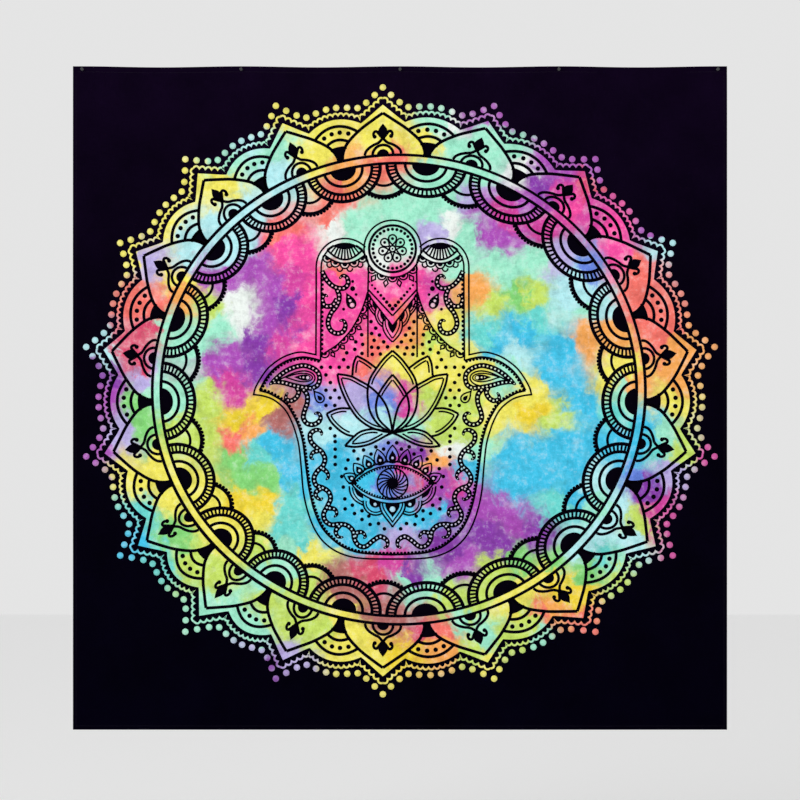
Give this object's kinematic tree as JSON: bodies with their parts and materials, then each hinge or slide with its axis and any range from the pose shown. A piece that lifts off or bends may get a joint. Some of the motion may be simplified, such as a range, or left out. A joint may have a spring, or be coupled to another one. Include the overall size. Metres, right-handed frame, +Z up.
{
  "type": "tapestry wall hanging",
  "caption": "Hemmed printed cloth tapestry, hung flat on a wall by push pins through its top hem.",
  "frame": {"origin": "on the wall plane, on the line of the push pins, at the middle of the cloth's width", "axes": "+X to the right seen from the front, +Y into the wall, +Z up; the printed face looks along -Y"},
  "size_m": [2.1, 0.023, 2.13],
  "materials": {
    "cloth_face": "matte, plain-woven, tie-dyed and overprinted",
    "cloth_back": "matte, plain-woven, paler than the face",
    "print_ink": "matte black pigment print",
    "print_dye": "matte dyed marks in many colours",
    "thread": "matte twisted polyester",
    "needle_steel": "bright drawn wire",
    "grip_plastic": "glossy moulded"
  },
  "bodies": {
    "top_edge": {"top_band": "cloth_face", "top_hem": "cloth_back", "top_stitching": "thread"},
    "panel": {"panel": "cloth_face", "left_hem": "cloth_back", "right_hem": "cloth_back", "bottom_hem": "cloth_back", "left_stitching": "thread", "right_stitching": "thread", "bottom_stitching": "thread"},
    "pin_1": {"pin_1_needle": "needle_steel", "pin_1_grip": "grip_plastic"},
    "pin_2": {"pin_2_needle": "needle_steel", "pin_2_grip": "grip_plastic"},
    "pin_3": {"pin_3_needle": "needle_steel", "pin_3_grip": "grip_plastic"},
    "pin_4": {"pin_4_needle": "needle_steel", "pin_4_grip": "grip_plastic"},
    "pin_5": {"pin_5_needle": "needle_steel", "pin_5_grip": "grip_plastic"}
  },
  "joints": [
    {"name": "panel_swing", "type": "hinge", "parent": "top_edge", "child": "panel", "pos_m": [0, -0.0012, -0.01], "axis": [-1, 0, 0], "range_deg": [0, 80]},
    {"name": "pin_1_pull", "type": "slide", "parent": "top_edge", "child": "pin_1", "axis": [0, -1, 0], "range_m": [0, 0.025]},
    {"name": "pin_2_pull", "type": "slide", "parent": "top_edge", "child": "pin_2", "axis": [0, -1, 0], "range_m": [0, 0.025]},
    {"name": "pin_3_pull", "type": "slide", "parent": "top_edge", "child": "pin_3", "axis": [0, -1, 0], "range_m": [0, 0.025]},
    {"name": "pin_4_pull", "type": "slide", "parent": "top_edge", "child": "pin_4", "axis": [0, -1, 0], "range_m": [0, 0.025]},
    {"name": "pin_5_pull", "type": "slide", "parent": "top_edge", "child": "pin_5", "axis": [0, -1, 0], "range_m": [0, 0.025]}
  ]
}
